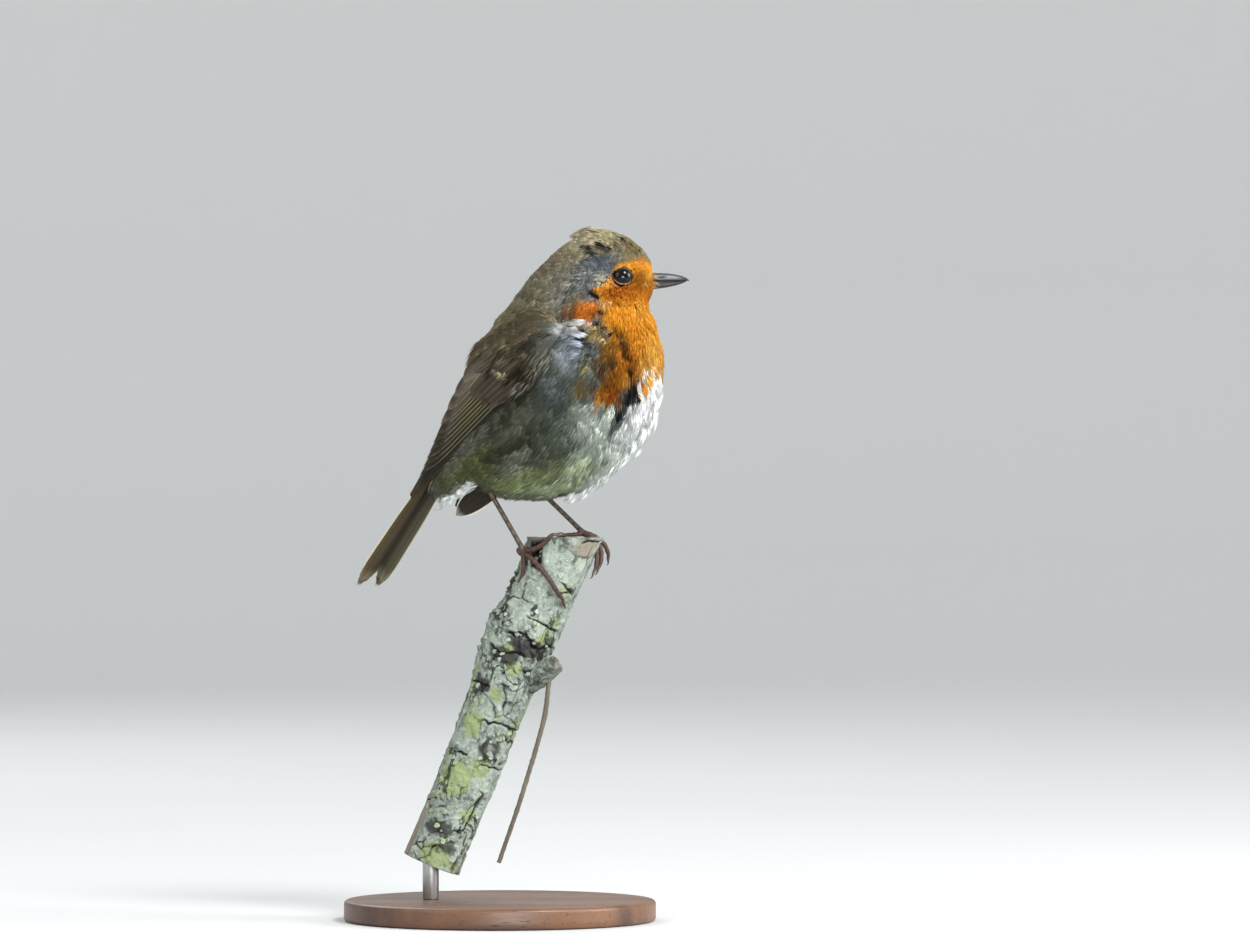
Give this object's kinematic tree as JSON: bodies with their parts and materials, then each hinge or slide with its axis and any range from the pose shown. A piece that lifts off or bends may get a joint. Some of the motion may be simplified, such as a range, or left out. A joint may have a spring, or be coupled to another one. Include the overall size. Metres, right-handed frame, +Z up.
{
  "type": "european robin on a perch",
  "caption": "Still life-size european robin gripping the cut top of a lichened branch, held by a rod on a round wooden base.",
  "frame": {"origin": "centre of the base's flat underside", "axes": "+Z up, +X where the bill points, so the bird's right side faces -Y"},
  "size_m": [0.1018, 0.092, 0.2032],
  "materials": {
    "plumage_body": "soft matt feathers, grey flanks, white belly, olive-brown back",
    "plumage_face": "soft matt feathers, orange face and breast, brown crown",
    "plumage_wing": "matt brown flight feathers with pale edges",
    "eye": "wet black",
    "bill": "satin dark horn",
    "leg": "scaled red-brown skin",
    "claw": "satin dark horn",
    "bark": "rough bark with pale lichen",
    "stem": "smooth thin bark",
    "rod": "brushed",
    "base": "oiled dark wood"
  },
  "bodies": {
    "root": {"trunk": "plumage_body", "neck": "plumage_body", "head": "plumage_face", "wing_right": "plumage_wing", "wing_left": "plumage_wing", "tail": "plumage_wing", "thigh_right": "plumage_body", "thigh_left": "plumage_body", "eye_right": "eye", "eye_left": "eye", "bill_upper": "bill", "bill_lower": "bill", "tarsus_right": "leg", "tarsus_left": "leg", "toe_right_inner": "leg", "toe_right_middle": "leg", "toe_right_outer": "leg", "toe_right_hind": "leg", "toe_left_inner": "leg", "toe_left_middle": "leg", "toe_left_outer": "leg", "toe_left_hind": "leg", "claw_right_inner": "claw", "claw_right_middle": "claw", "claw_right_outer": "claw", "claw_right_hind": "claw", "claw_left_inner": "claw", "claw_left_middle": "claw", "claw_left_outer": "claw", "claw_left_hind": "claw", "perch_branch": "bark", "perch_stub": "bark", "perch_stem": "stem", "stand_rod": "rod", "stand_base": "base"}
  },
  "joints": []
}
